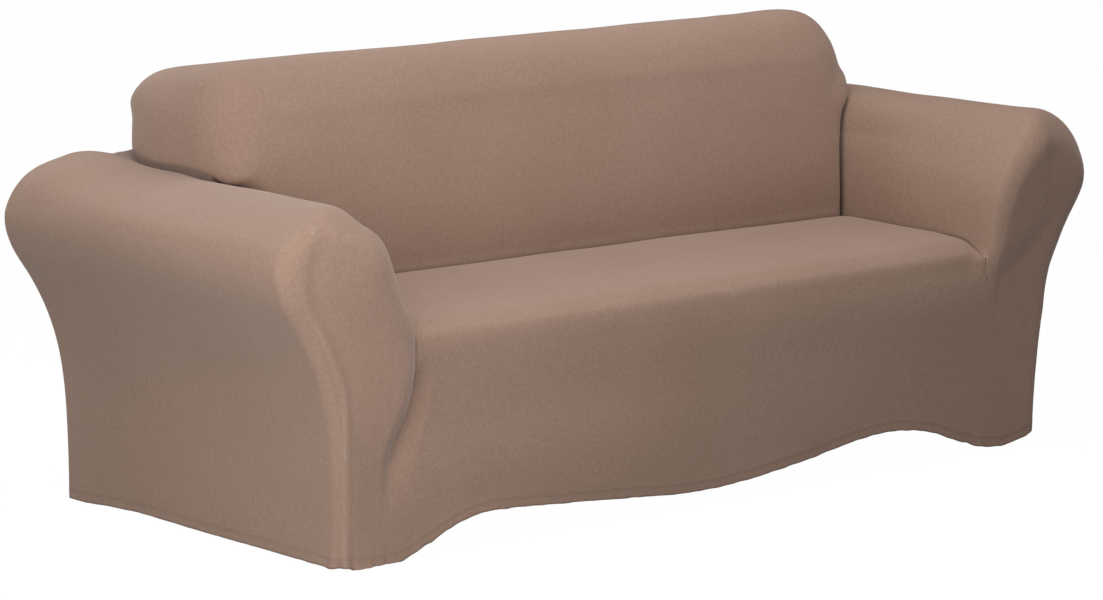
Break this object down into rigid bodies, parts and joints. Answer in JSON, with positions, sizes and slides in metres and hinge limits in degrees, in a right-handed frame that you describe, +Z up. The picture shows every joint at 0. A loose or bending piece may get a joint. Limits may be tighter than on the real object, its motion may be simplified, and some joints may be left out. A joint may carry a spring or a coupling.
{
  "type": "sofa slipcover",
  "caption": "Stretch-knit sofa slipcover, hollow and open below, in the shape of the rolled-arm sofa it fits, with a wavy elasticated hem.",
  "frame": {"origin": "on the floor, under the middle of the cover's box", "axes": "+X along the cover, towards the right of someone who faces its front; -Y towards its front; +Z up"},
  "size_m": [2.184, 0.87, 0.8618],
  "materials": {
    "knit": "matt stretch knit"
  },
  "bodies": {
    "root": {"seat_front": "knit", "inside_back": "knit", "outside_back": "knit", "arm_left": "knit", "arm_right": "knit", "arm_front_left": "knit", "arm_front_right": "knit"}
  },
  "joints": []
}
